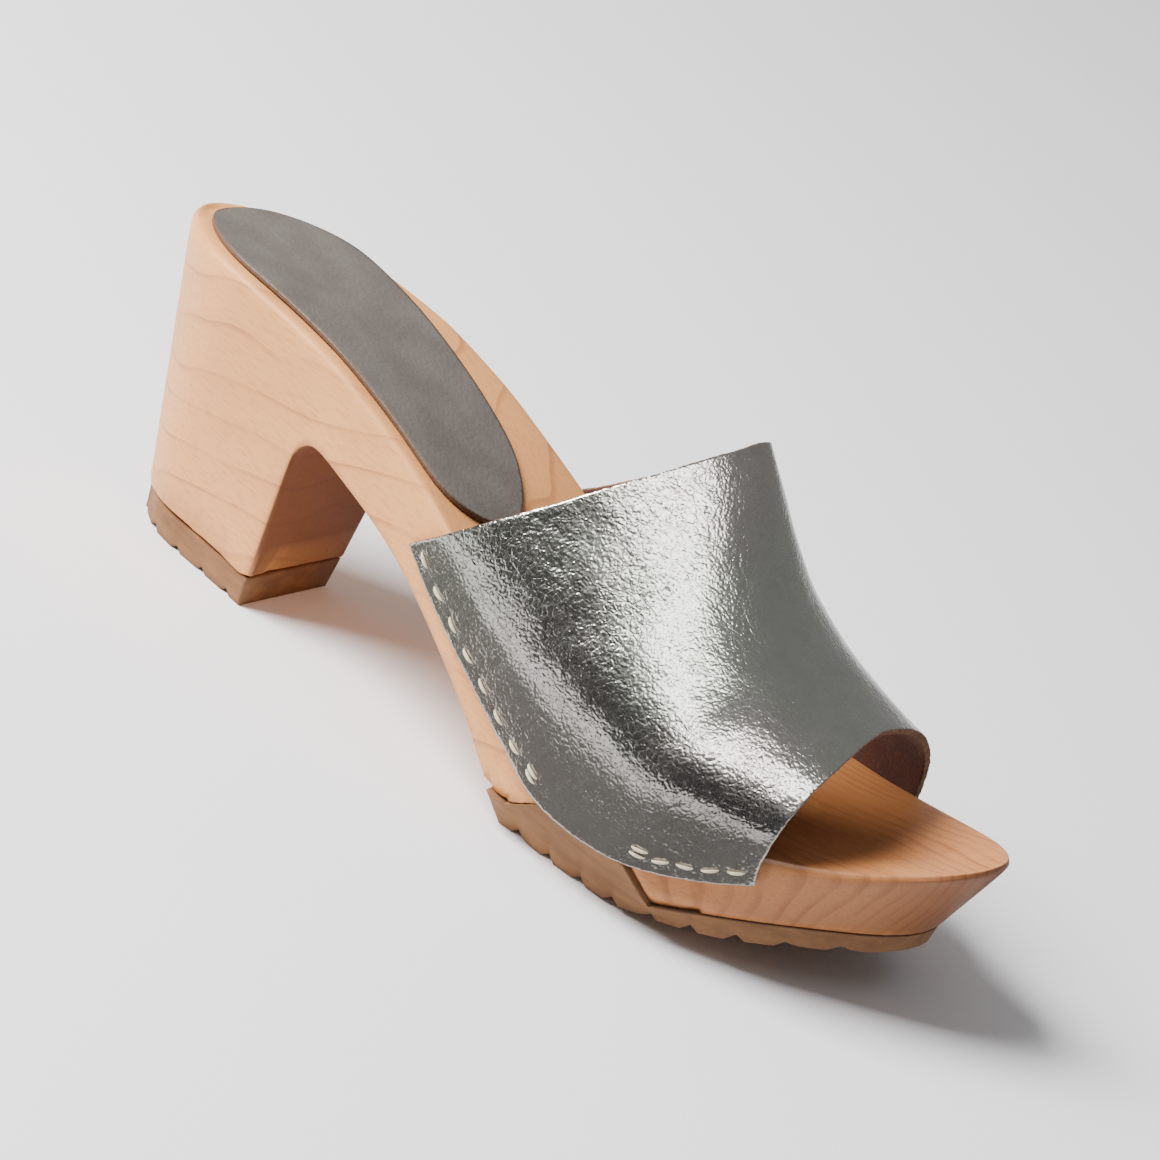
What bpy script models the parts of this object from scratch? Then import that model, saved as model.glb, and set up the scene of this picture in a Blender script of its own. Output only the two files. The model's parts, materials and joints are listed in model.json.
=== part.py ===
"""Heeled clog mule, the right shoe: a wooden sole with a block heel, a leather band over the forefoot,
a leather heel sock, and rubber under the forefoot and under the heel.

Metres. The toe points along +X, the outer side faces -Y, +Z is up and the floor is z = 0.
While the pieces are built x = 0 is the back of the heel seat; at the end the whole shoe is centred.
"""

import math
from collections import namedtuple

import bmesh
import bpy
from mathutils import Vector

# Wooden sole, lengths along the shoe
SOLE_LENGTH = 0.244
BREAST_AT = 0.0576
OUTSOLE_REAR_AT = 0.1403
BALL_AT = 0.178
HEEL_ROUND_LENGTH = 0.028
HEEL_FULLNESS = 1.8
BREAST_SKEW = 0.0043
BREAST_SKEW_FROM_AT = 0.0168
HEEL_LEAN_END_AT = 0.0490
TOE_LEAN_FULL_AT = 0.2270

# Wooden sole, half widths from the centre line and where the two ends point
BALL_OUTER = 0.048
BALL_INNER = 0.0395
HEEL_BACK_SIDE = -0.0015
TOE_TIP_SIDE = 0.008
TOE_FULLNESS_OUTER = 1.25
TOE_FULLNESS_INNER = 1.75

# Wooden sole, heights
SEAT_HEIGHT = 0.0770
BALL_HEIGHT = 0.0288
TOE_RISE = 0.0118
WAIST_THICKNESS = 0.0185
TOE_EDGE_HEIGHT = 0.0175
TOE_EDGE_AT = 0.2357
FOOTBED_DISH = 0.0012
DISH_REACH = 0.80
EDGE_RADIUS = 0.0030
ARCH_FILLET = 0.0065
BREAST_CORNER = 0.0018

# Rubber joint that rises into the wood under the ball
JOINT_HEIGHT = 0.0146
JOINT_REAR_AT = 0.1550
JOINT_FRONT_AT = 0.1790
JOINT_REAR_SLOPE = 0.0093
JOINT_FRONT_SLOPE = 0.0087

# Rubber outsole and heel top piece
OUTSOLE_HEIGHT = 0.0078
TOE_RUBBER = 0.0046
OUTSOLE_REAR_IN = 0.0045
OUTSOLE_BALL_IN = 0.0080
OUTSOLE_TOE_IN = 0.0005
OUTSOLE_TOE_IN_AT = 0.212
HEEL_RUBBER = 0.0080
HEEL_RUBBER_IN = 0.0006
HEEL_RUBBER_TAPER = 0.0014
HEEL_RUBBER_ROUND = 0.0224
GROOVE_PITCH = 0.0093
GROOVE_WIDTH = 0.0040
GROOVE_DEPTH = 0.0016
FIRST_GROOVE_IN = 0.0098
HEEL_GROOVE_PITCH = 0.0088
HEEL_GROOVE_WIDTH = 0.0032
HEEL_GROOVE_DEPTH = 0.0012
HEEL_FIRST_GROOVE_IN = 0.0053
CONTACT_FRONT_AT = 0.1680

# Leather band
BAND_THICKNESS = 0.0019
BAND_REAR_AT = 0.0975
BAND_FRONT_AT = 0.2045
BAND_INNER_LEAD = 0.0050
BAND_REAR_HEIGHT = 0.0460
BAND_FRONT_HEIGHT = 0.0240
BAND_LOW_HEIGHT = 0.0140
RIDGE_REAR_AT = 0.1480
RIDGE_FRONT_AT = 0.2055
RIDGE_REAR_HEIGHT = 0.0958
RIDGE_FRONT_HEIGHT = 0.0538
RIDGE_REAR_SIDE = 0.0020
RIDGE_FRONT_SIDE = -0.0025
BAND_BULGE = 0.0016
BAND_FRONT_BOW = 0.0013
BAND_INNER_REAR_BOW = 0.0042
BAND_FRONT_FLARE = 0.0010
BAND_BOW_PEAK = 2.0
BAND_FRONT_FADE = 6
BAND_REAR_FADE = 4

# Heel sock
SOCK_THICKNESS = 0.0012
SOCK_LENGTH = 0.1080
SOCK_BACK_AT = 0.0054
SOCK_MARGIN = 0.0042
SOCK_WIDTH = 0.0224
SOCK_TIP_SIDE = -0.0110
SOCK_TIP_ROUND = 0.0180

# Fit of the pieces, and the fineness of their rows
GAP = 0.0003
BAND_GAP = 0.00036
ROW_STEP = 0.0080
HEEL_ROW_STEP = 0.0104
JOINT_ROW_STEP = 0.0120
SHORTEST_ROW = 0.0004
COLUMNS = 8
ROUND_END_ANGLE = math.radians(40)
BAND_SECTIONS = 20
BAND_WALL_STEPS = 3
BAND_ARCH_STEPS = 11

# Plan of the wooden sole: shares of its length and of the half widths at the ball
Side = namedtuple("Side", "along outer inner")
SIDES = [
    Side(0.000, 0.510, 0.560),
    Side(0.115, 0.560, 0.615),
    Side(0.236, 0.621, 0.708),
    Side(0.316, 0.673, 0.716),
    Side(0.389, 0.725, 0.706),
    Side(0.459, 0.802, 0.724),
    Side(0.537, 0.894, 0.800),
    Side(0.627, 0.975, 0.919),
    Side(0.730, 1.000, 1.000),
]

# Footbed from the side: shares of the fall from seat to ball, and of the rise to the toe
Footbed = namedtuple("Footbed", "along fall rise")
FOOTBED = [
    Footbed(0.000, 0.954, 0.00),
    Footbed(0.100, 0.950, 0.00),
    Footbed(0.205, 0.895, 0.00),
    Footbed(0.307, 0.768, 0.00),
    Footbed(0.410, 0.565, 0.00),
    Footbed(0.512, 0.310, 0.00),
    Footbed(0.615, 0.112, 0.00),
    Footbed(0.705, 0.018, 0.00),
    Footbed(0.780, 0.000, 0.00),
    Footbed(0.840, 0.000, 0.11),
    Footbed(0.900, 0.000, 0.36),
    Footbed(1.000, 0.000, 1.00),
]

# Underside of the waist: thickness as shares of the waist's, and how far it has met the outsole
Waist = namedtuple("Waist", "along thick meet")
WAIST = [
    Waist(0.000, 1.07, 0.00),
    Waist(0.425, 1.03, 0.00),
    Waist(0.600, 1.08, 0.00),
    Waist(0.790, 1.18, 0.02),
    Waist(0.920, 1.32, 0.20),
    Waist(1.000, 1.40, 1.00),
]

# Slope of the side walls inwards per unit of depth, along the sole
Draft = namedtuple("Draft", "along slope")
DRAFTS = [
    Draft(0.000, 0.238),
    Draft(0.115, 0.200),
    Draft(0.236, 0.150),
    Draft(0.300, 0.080),
    Draft(0.420, 0.080),
    Draft(0.520, 0.125),
    Draft(0.575, 0.150),
    Draft(0.640, 0.080),
    Draft(0.730, 0.050),
    Draft(0.810, 0.080),
    Draft(0.880, 0.220),
    Draft(0.930, 0.290),
    Draft(1.000, 0.400),
]

# Rocker of the outsole: shares of the way from the floor contact to the toe, and of the toe's height
Rocker = namedtuple("Rocker", "along lift")
ROCKER = [
    Rocker(0.00, 0.000),
    Rocker(0.19, 0.115),
    Rocker(0.42, 0.370),
    Rocker(0.63, 0.660),
    Rocker(0.84, 0.900),
    Rocker(1.00, 1.000),
]

# Lower edge of the leather band: shares of its length, of its rear rise and of its front rise
Hem = namedtuple("Hem", "along rear front")
HEM = [
    Hem(0.00, 1.000, 0.00),
    Hem(0.12, 0.735, 0.00),
    Hem(0.28, 0.450, 0.00),
    Hem(0.43, 0.190, 0.00),
    Hem(0.54, 0.030, 0.00),
    Hem(0.66, 0.000, 0.00),
    Hem(0.78, 0.000, 0.16),
    Hem(0.90, 0.000, 0.52),
    Hem(1.00, 0.000, 1.00),
]

# Ridge of the band and the fullness of its arches: shares of the fall of the ridge, then exponents
Arch = namedtuple("Arch", "along fall outer inner")
ARCHES = [
    Arch(0.00, 0.000, 1.85, 1.85),
    Arch(0.13, 0.175, 1.90, 1.86),
    Arch(0.28, 0.400, 2.00, 1.87),
    Arch(0.44, 0.620, 2.10, 1.88),
    Arch(0.62, 0.790, 2.20, 1.88),
    Arch(0.80, 0.905, 2.30, 1.86),
    Arch(1.00, 1.000, 2.35, 1.84),
]

# Inner edge of the heel sock: shares of its length and of its width on that side
Sock = namedtuple("Sock", "along inner")
SOCK_EDGE = [
    Sock(0.00, 0.950),
    Sock(0.26, 0.990),
    Sock(0.38, 0.930),
    Sock(0.50, 0.820),
    Sock(0.62, 0.700),
    Sock(0.75, 0.560),
    Sock(0.86, 0.420),
    Sock(1.00, 0.230),
]


def read(table, column, along):
    """Value of a table's column at a share of the length, on a smooth curve through its rows."""
    xs = [row.along for row in table]
    ys = [getattr(row, column) for row in table]
    if along <= xs[0]:
        return ys[0]
    if along >= xs[-1]:
        return ys[-1]
    slopes = [(ys[i + 1] - ys[i]) / (xs[i + 1] - xs[i]) for i in range(len(xs) - 1)]
    tangents = [slopes[0]]
    for before, after in zip(slopes, slopes[1:]):
        flat = before * after <= 0
        tangents.append(0.0 if flat else 2 * before * after / (before + after))
    tangents.append(slopes[-1])
    i = max(k for k in range(len(xs) - 1) if xs[k] <= along)
    span = xs[i + 1] - xs[i]
    t = (along - xs[i]) / span
    start = (1 + 2 * t) * (1 - t) ** 2 * ys[i] + t * (1 - t) ** 2 * span * tangents[i]
    end = t * t * (3 - 2 * t) * ys[i + 1] + t * t * (t - 1) * span * tangents[i + 1]
    return start + end


def between(low, high, value):
    """How far a value is from low to high, kept within 0 and 1."""
    return min(1.0, max(0.0, (value - low) / (high - low)))


def eased(share):
    """Share of a way that starts and stops gently."""
    return share * share * (3 - 2 * share)


def rounded(share):
    """Width of the heel's round end at a share of the way from its root to its back."""
    return (1 - max(0.0, share) ** HEEL_FULLNESS) ** (1 / HEEL_FULLNESS)


def footbed(x):
    """Height of the footbed's edge."""
    along = x / SOLE_LENGTH
    fall = (SEAT_HEIGHT - BALL_HEIGHT) * read(FOOTBED, "fall", along)
    return BALL_HEIGHT + fall + TOE_RISE * read(FOOTBED, "rise", along)


def outline(x, side):
    """Sideways place of the footbed's edge. side is -1 for the outer edge and 1 for the inner one."""
    x = min(max(x, 0.0), SOLE_LENGTH)
    column, ball = ("outer", BALL_OUTER) if side < 0 else ("inner", BALL_INNER)
    edge = side * ball * read(SIDES, column, x / SOLE_LENGTH)
    if x < HEEL_ROUND_LENGTH:
        return HEEL_BACK_SIDE + (edge - HEEL_BACK_SIDE) * rounded(1 - x / HEEL_ROUND_LENGTH)
    if x > BALL_AT:
        gone = (x - BALL_AT) / (SOLE_LENGTH - BALL_AT)
        fullness = TOE_FULLNESS_OUTER if side < 0 else TOE_FULLNESS_INNER
        return TOE_TIP_SIDE + (edge - TOE_TIP_SIDE) * math.sqrt(1 - gone ** fullness)
    return edge


def waist_height(x):
    """Height of the wood's underside in the waist, between breast and outsole."""
    along = between(BREAST_AT, OUTSOLE_REAR_AT, x)
    free = footbed(x) - WAIST_THICKNESS * read(WAIST, "thick", along)
    meet = read(WAIST, "meet", along)
    return free * (1 - meet) + OUTSOLE_HEIGHT * meet


def underside(x):
    """Height of the wood's underside, the same from side to side. Under the seat it is the arch's root."""
    if x < BREAST_AT + ARCH_FILLET:
        short = 1 - between(BREAST_AT, BREAST_AT + ARCH_FILLET, x)
        return waist_height(BREAST_AT + ARCH_FILLET) - ARCH_FILLET * (1 - math.sqrt(1 - short * short))
    if x < OUTSOLE_REAR_AT:
        return waist_height(x)
    if x < JOINT_REAR_AT:
        share = between(JOINT_REAR_AT - JOINT_REAR_SLOPE, JOINT_REAR_AT, x)
        return OUTSOLE_HEIGHT + (JOINT_HEIGHT - OUTSOLE_HEIGHT) * share
    front_low = JOINT_FRONT_AT + JOINT_FRONT_SLOPE
    if x < front_low:
        share = between(JOINT_FRONT_AT, front_low, x)
        return JOINT_HEIGHT + (OUTSOLE_HEIGHT - JOINT_HEIGHT) * share
    share = between(front_low, TOE_EDGE_AT, x)
    return OUTSOLE_HEIGHT + (TOE_EDGE_HEIGHT - OUTSOLE_HEIGHT) * math.sin(share * math.pi / 2)


def draft(x):
    """Slope of the side wall below the footbed's edge."""
    return read(DRAFTS, "slope", x / SOLE_LENGTH)


def wall(x, z, side):
    """Sideways place of the wood's side wall at a height, for the stretch that the band covers."""
    return outline(x, side) - side * draft(x) * (footbed(x) - z)


def rows_between(stops, step):
    """Row positions that hit every stop, with no wider step than the one given."""
    rows = [stops[0]]
    for start, end in zip(stops, stops[1:]):
        count = max(1, math.ceil((end - start) / step - 0.01))
        rows += [start + (end - start) * k / count for k in range(1, count + 1)]
    return rows


def skewed(point):
    """Point moved along the shoe by the slant of the breast, which is full below the seat's edge."""
    depth = eased(between(EDGE_RADIUS, WAIST_THICKNESS, footbed(point.x) - point.z))
    rise = eased(between(BREAST_SKEW_FROM_AT, BREAST_AT, point.x))
    fade = 1 - eased(between(BREAST_AT + ARCH_FILLET, OUTSOLE_REAR_AT - ROW_STEP, point.x))
    share = between(wall(BREAST_AT, HEEL_RUBBER, -1), wall(BREAST_AT, HEEL_RUBBER, 1), point.y)
    return Vector((point.x + BREAST_SKEW * share * depth * rise * fade, point.y, point.z))


def normals(near, far, flat=False):
    """Outward directions in plan at the rows of an outline. It ends in points, or its first end is flat."""
    loop = near + (far[-2::-1] if flat else far[-2:0:-1])
    count = len(loop)
    out = []
    for k, point in enumerate(loop):
        run = loop[(k + 1) % count] - loop[k - 1]
        out.append(Vector((run.y, -run.x)).normalized())
    rows = len(near)
    far_out = out[:rows - 2:-1]
    return out[:rows], far_out if flat else [out[0]] + far_out


def loft(sections, skip=None, capped=False):
    """Mesh through closed sections of equal count. skip(row, place) leaves out a strip's face."""
    mesh = bmesh.new()
    rings = [[mesh.verts.new(point) for point in section] for section in sections]
    count = len(rings[0])
    for row, (here, there) in enumerate(zip(rings, rings[1:])):
        for k in range(count):
            if skip is None or not skip(row, k):
                mesh.faces.new((here[k], here[(k + 1) % count], there[(k + 1) % count], there[k]))
    if capped:
        mesh.faces.new(rings[0])
    return mesh, rings


def finish(name, mesh, material, collection, smooth_angle=math.radians(35)):
    """Turns a bmesh into the named object, with its doubles merged and its faces outwards."""
    bmesh.ops.remove_doubles(mesh, verts=mesh.verts, dist=2e-6)
    bmesh.ops.dissolve_degenerate(mesh, dist=1e-6, edges=mesh.edges)
    bmesh.ops.recalc_face_normals(mesh, faces=mesh.faces)
    data = bpy.data.meshes.new(name)
    mesh.to_mesh(data)
    mesh.free()
    data.shade_smooth()
    data.set_sharp_from_angle(angle=smooth_angle)
    data.materials.append(material)
    body = bpy.data.objects.new(name, data)
    collection.objects.link(body)
    return body


def finish_of(name, colour, roughness, metallic=0.0):
    """Principled material of one piece."""
    material = bpy.data.materials.new(name)
    material.use_nodes = True
    shader = material.node_tree.nodes["Principled BSDF"]
    shader.inputs["Base Color"].default_value = (*colour, 1.0)
    shader.inputs["Roughness"].default_value = roughness
    shader.inputs["Metallic"].default_value = metallic
    return material


def sole_rows():
    """Rows of the wooden sole from the back of the seat to the tip of the toe."""
    heel = [HEEL_ROUND_LENGTH * (1 - math.cos(math.radians(a))) for a in (0, 16, 32, 48, 64, 78)]
    fillet = [BREAST_AT + ARCH_FILLET * (1 - math.cos(math.radians(a))) for a in (30, 60)]
    middle = rows_between([HEEL_ROUND_LENGTH, BREAST_AT], HEEL_ROW_STEP) + fillet
    middle += rows_between([
        BREAST_AT + ARCH_FILLET, OUTSOLE_REAR_AT, JOINT_REAR_AT - JOINT_REAR_SLOPE, JOINT_REAR_AT,
        JOINT_FRONT_AT, JOINT_FRONT_AT + JOINT_FRONT_SLOPE], ROW_STEP)
    start = math.asin((middle[-1] - BALL_AT) / (SOLE_LENGTH - BALL_AT))
    turns = [start + (math.pi / 2 - start) * k / 11 for k in range(1, 12)]
    return heel + middle + [BALL_AT + (SOLE_LENGTH - BALL_AT) * math.sin(a) for a in turns]


def end_share(x):
    """How far a wall at x leans along the shoe and not only sideways: 1 at both ends, 0 between."""
    rear = 1 - between(HEEL_ROUND_LENGTH, HEEL_LEAN_END_AT, x)
    front = between(BAND_FRONT_AT, TOE_LEAN_FULL_AT, x)
    return eased(max(rear, front))


def inwards(x, normal):
    """Direction in which the wall at a row leans in."""
    share = end_share(x)
    return Vector((-normal.x * share, -normal.y))


def edge_point(x, side, normal, z):
    """Point of the wood's side wall at a height, on the row whose footbed edge lies at x."""
    edge = Vector((x, outline(x, side)))
    place = edge + inwards(x, normal) * draft(x) * (footbed(x) - z)
    return Vector((place.x, place.y, z))


def low_point(x, side, normal):
    """Point where a row's side wall meets the underside."""
    point = edge_point(x, side, normal, underside(x))
    for _ in range(4):
        point = edge_point(x, side, normal, underside(point.x))
    return point


def sole_outline(xs):
    """Both edges of the footbed at the rows, and their outward directions."""
    near = [Vector((x, outline(x, -1))) for x in xs]
    far = [Vector((x, outline(x, 1))) for x in xs]
    return near, far, *normals(near, far)


def edge_normals(xs, side):
    """Outward directions of the footbed's edge at the rows, on one side."""
    near_out, far_out = sole_outline(xs)[2:]
    return near_out if side < 0 else far_out


def rounded_edge(x, side, normal):
    """Points of the footbed's rounded edge, from the footbed out to the wall."""
    points = []
    for angle in (0, 30, 60, 90):
        inset = EDGE_RADIUS * (1 - math.sin(math.radians(angle)))
        drop = EDGE_RADIUS * (1 - math.cos(math.radians(angle)))
        point = edge_point(x, side, normal, footbed(x) - drop)
        lean = Vector((-normal.x, -normal.y, 0)) * inset
        points.append(point + lean)
    return points


def footbed_at(x, y):
    """Height of the footbed's surface, dished from side to side."""
    side = -1 if y < 0 else 1
    reach = abs(outline(x, side)) * DISH_REACH
    share = min(1.0, abs(y) / reach) if reach > EDGE_RADIUS else 1.0
    return footbed(x) - FOOTBED_DISH * (1 - share * share) ** 2


def across(start, end, steps):
    """Points strictly between two others."""
    return [start.lerp(end, k / steps) for k in range(1, steps)]


def build_wooden_sole(collection):
    """Sole of one piece of wood: seat, waist, platform and block heel, with the joint's recess."""
    xs = sole_rows()
    near, far, near_out, far_out = sole_outline(xs)
    sections = []
    for x, outer_normal, inner_normal in zip(xs, near_out, far_out):
        outer = rounded_edge(x, -1, outer_normal)
        inner = rounded_edge(x, 1, inner_normal)
        top = across(outer[0], inner[0], COLUMNS)
        for point in [outer[0], inner[0]] + top:
            point.z = footbed_at(point.x, point.y)
        outer_low = low_point(x, -1, outer_normal)
        inner_low = low_point(x, 1, inner_normal)
        if x <= BREAST_AT:
            outer_low = edge_point(x, -1, outer_normal, underside(BREAST_AT))
            inner_low = edge_point(x, 1, inner_normal, underside(BREAST_AT))
        bottom = across(inner_low, outer_low, COLUMNS)
        if x > BREAST_AT:
            for point in bottom:
                point.z = underside(point.x)
        section = [outer[0]] + top + inner + [inner[-1].lerp(inner_low, 0.5), inner_low]
        section += bottom + [outer_low, outer_low.lerp(outer[-1], 0.5)] + outer[:0:-1]
        sections.append(section)
    first_low = COLUMNS + 5
    last_low = first_low + COLUMNS
    breast = max(k for k, x in enumerate(xs) if x <= BREAST_AT + 1e-6)

    def over_heel(row, place):
        return row < breast and first_low <= place < last_low

    mesh, rings = loft(sections, skip=over_heel)

    floor = []
    for row in range(breast + 1):
        inner = edge_point(xs[row], 1, far_out[row], HEEL_RUBBER)
        outer = edge_point(xs[row], -1, near_out[row], HEEL_RUBBER)
        points = [inner] + across(inner, outer, COLUMNS) + [outer]
        floor.append([mesh.verts.new(point) for point in points])
    for row in range(breast):
        here, there = floor[row], floor[row + 1]
        for k in range(COLUMNS):
            mesh.faces.new((here[k], here[k + 1], there[k + 1], there[k]))
        for k, place in ((0, first_low), (COLUMNS, last_low)):
            mesh.faces.new((rings[row][place], rings[row + 1][place], there[k], here[k]))
    for k in range(COLUMNS):
        upper = rings[breast][first_low + k], rings[breast][first_low + k + 1]
        mesh.faces.new((*upper, floor[breast][k + 1], floor[breast][k]))
    for vertex in mesh.verts:
        vertex.co = skewed(vertex.co)
    corners = [(rings[breast][first_low], floor[breast][0]), (rings[breast][last_low], floor[breast][-1])]
    edges = [mesh.edges.get(pair) for pair in corners]
    bmesh.ops.recalc_face_normals(mesh, faces=mesh.faces)
    bmesh.ops.bevel(mesh, geom=edges, offset=BREAST_CORNER, segments=2, profile=0.5, affect="EDGES")
    return finish("wooden_sole", mesh, finish_of("wood", (0.72, 0.47, 0.31), 0.45), collection)


def grooved(rows, centres, width):
    """Rows outside the grooves, with three more for each groove: its two edges and its bottom."""
    kept = [x for x in rows if all(abs(x - c) > width / 2 + SHORTEST_ROW for c in centres)]
    for centre in centres:
        kept += [centre - width / 2, centre, centre + width / 2]
    return sorted(kept)


def spaced(rows, corners):
    """Rows and corners in order, without the rows that lie too close to a corner."""
    rest = [x for x in rows if all(abs(x - corner) > SHORTEST_ROW for corner in corners)]
    return sorted(rest + corners)


def groove(x, centres, width, depth):
    """How far a groove lifts the underside at x."""
    lift = [depth * (1 - abs(x - c) / (width / 2)) for c in centres if abs(x - c) < width / 2]
    return max(lift, default=0.0)


def low_outline(side):
    """Plan points of the wood's lower edge on one side, from the outsole's rear to the toe."""
    xs = sole_rows()
    rows = zip(xs, edge_normals(xs, side))
    points = [low_point(x, side, normal) for x, normal in rows if x > OUTSOLE_REAR_AT - ROW_STEP]
    return [(p.x, p.y) for p in points]


def heel_outline(side, z):
    """Plan points of the heel's wall at a height, from its back to its breast."""
    xs = sole_rows()
    rows = zip(xs, edge_normals(xs, side))
    points = [edge_point(x, side, normal, z) for x, normal in rows if x <= BREAST_AT + 1e-6]
    return [(p.x, p.y) for p in points]


def follow(points, x):
    """Sideways place at x on a row of plan points."""
    for (x0, y0), (x1, y1) in zip(points, points[1:]):
        if x0 - 1e-9 <= x <= x1 + 1e-9:
            return y0 + (y1 - y0) * between(x0, x1, x) if x1 - x0 > 1e-9 else y0
    return points[0][1] if x < points[0][0] else points[-1][1]


def rocker(x, tip):
    """Height of the outsole's tread before its grooves."""
    along = between(CONTACT_FRONT_AT, tip, x)
    return (TOE_EDGE_HEIGHT - TOE_RUBBER) * read(ROCKER, "lift", along)


def inward_of(out):
    """Direction in which a slab's side comes in: square to a round end, else straight across the shoe."""
    round_end = abs(out.x) > math.sin(ROUND_END_ANGLE)
    return -out if round_end else Vector((0, -1 / out.y))


def slab(near, far, top, bottom, inset, rings, flat=False, lean=0.0, lean_reach=1.0):
    """Closed slab through rows. inset(x) is how far its side has come in at the bottom, rings the depths.

    A flat first end is closed by a face and leans along the shoe by lean, which fades over lean_reach.
    """
    near_out, far_out = normals(near, far, flat)
    if flat:
        sideways = math.copysign(1, near[0].y - far[0].y)
        near_out[0], far_out[0] = Vector((0, sideways)), Vector((0, -sideways))
    sections = []
    for row in range(len(near)):
        sides = []
        for edge, out in ((near[row], near_out[row]), (far[row], far_out[row])):
            fade = between(0, lean_reach, abs(edge.x - near[0].x))
            shift = Vector((lean * (1 - fade), 0))
            points = []
            for share in rings:
                plan = edge + (shift + inward_of(out) * inset(edge.x)) * share
                high, low = top(plan.x, plan.y), bottom(plan.x, plan.y)
                points.append(Vector((plan.x, plan.y, high + (low - high) * share)))
            sides.append(points)
        outer, inner = sides
        upper = across(outer[0], inner[0], COLUMNS)
        lower = across(inner[-1], outer[-1], COLUMNS)
        for point in upper:
            point.z = top(point.x, point.y)
        for point in lower:
            point.z = bottom(point.x, point.y)
        sections.append([outer[0]] + upper + inner + lower + outer[:0:-1])
    mesh, _ = loft(sections, capped=flat)
    return mesh


def build_outsole(collection):
    """Ribbed rubber under the forefoot, with the joint that rises into the wood."""
    near_low, far_low = low_outline(-1), low_outline(1)
    tip = near_low[-1][0]
    stops = [OUTSOLE_REAR_AT, JOINT_REAR_AT - JOINT_REAR_SLOPE, JOINT_REAR_AT, JOINT_FRONT_AT,
             JOINT_FRONT_AT + JOINT_FRONT_SLOPE]
    joint = rows_between(stops[1:], JOINT_ROW_STEP)
    reach = tip - joint[-1]
    toe = [joint[-1] + reach * math.sin(math.radians(a)) for a in (12, 24, 36, 48, 59, 69, 77, 84)] + [tip]
    count = int((tip - OUTSOLE_REAR_AT - FIRST_GROOVE_IN) / GROOVE_PITCH)
    centres = [OUTSOLE_REAR_AT + FIRST_GROOVE_IN + GROOVE_PITCH * k for k in range(count)]
    xs = spaced(grooved(joint + toe[:-3], centres, GROOVE_WIDTH), stops + toe[-3:])
    near = [Vector((x, follow(near_low, x))) for x in xs]
    far = [Vector((x, follow(far_low, x))) for x in xs]
    far[-1] = near[-1].copy()

    def top(x, y):
        return underside(x) - GAP

    def bottom(x, y):
        return rocker(x, tip) + groove(x, centres, GROOVE_WIDTH, GROOVE_DEPTH)

    def inset(x):
        full = eased(between(OUTSOLE_REAR_AT, JOINT_REAR_AT, x))
        toe_share = eased(between((JOINT_REAR_AT + JOINT_FRONT_AT) / 2, OUTSOLE_TOE_IN_AT, x))
        wide = OUTSOLE_REAR_IN + (OUTSOLE_BALL_IN - OUTSOLE_REAR_IN) * full
        return wide + (OUTSOLE_TOE_IN - wide) * toe_share

    mesh = slab(near, far, top, bottom, inset, (0.0, 0.35, 0.7, 1.0), flat=True,
                lean=OUTSOLE_REAR_IN, lean_reach=OUTSOLE_REAR_IN * 3)
    return finish("forefoot_outsole", mesh, finish_of("rubber", (0.32, 0.20, 0.11), 0.8), collection)


def build_top_piece(collection):
    """Ribbed rubber under the heel, flush with its wall."""
    wall_points = {side: heel_outline(side, HEEL_RUBBER - GAP) for side in (-1, 1)}
    back = wall_points[-1][0][0] + HEEL_RUBBER_IN
    breast = BREAST_AT - HEEL_RUBBER_IN
    turns = [math.radians(angle) for angle in (0, 14, 28, 42, 56, 70, 84)]
    ends = [back + HEEL_RUBBER_ROUND * (1 - math.cos(turn)) for turn in turns]
    count = int((breast - back) / HEEL_GROOVE_PITCH)
    centres = [breast - HEEL_FIRST_GROOVE_IN - HEEL_GROOVE_PITCH * k for k in range(count)]
    xs = spaced(grooved(ends[3:], centres, HEEL_GROOVE_WIDTH), ends[:3] + [breast])
    near, far = [], []
    for x in xs:
        for side, edges in ((-1, near), (1, far)):
            place = follow(wall_points[side], x - HEEL_RUBBER_IN)
            edges.append(Vector((x, place - side * HEEL_RUBBER_IN)))
    middle = (near[0].y + far[0].y) / 2
    near[0].y = far[0].y = middle

    def top(x, y):
        return HEEL_RUBBER - GAP

    def bottom(x, y):
        return groove(x, centres, HEEL_GROOVE_WIDTH, HEEL_GROOVE_DEPTH)

    def inset(x):
        return HEEL_RUBBER_TAPER

    mesh = slab(far[::-1], near[::-1], top, bottom, inset, (0.0, 0.5, 1.0), flat=True)
    for vertex in mesh.verts:
        vertex.co = skewed(vertex.co)
    return finish("heel_top_piece", mesh, finish_of("rubber_heel", (0.32, 0.20, 0.11), 0.8), collection)


def sock_edge(x, side):
    """Sideways place of the heel sock's edge before its front is rounded."""
    if side < 0:
        return outline(x, side) + SOCK_MARGIN
    return SOCK_WIDTH * read(SOCK_EDGE, "inner", x / SOCK_LENGTH)


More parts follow.
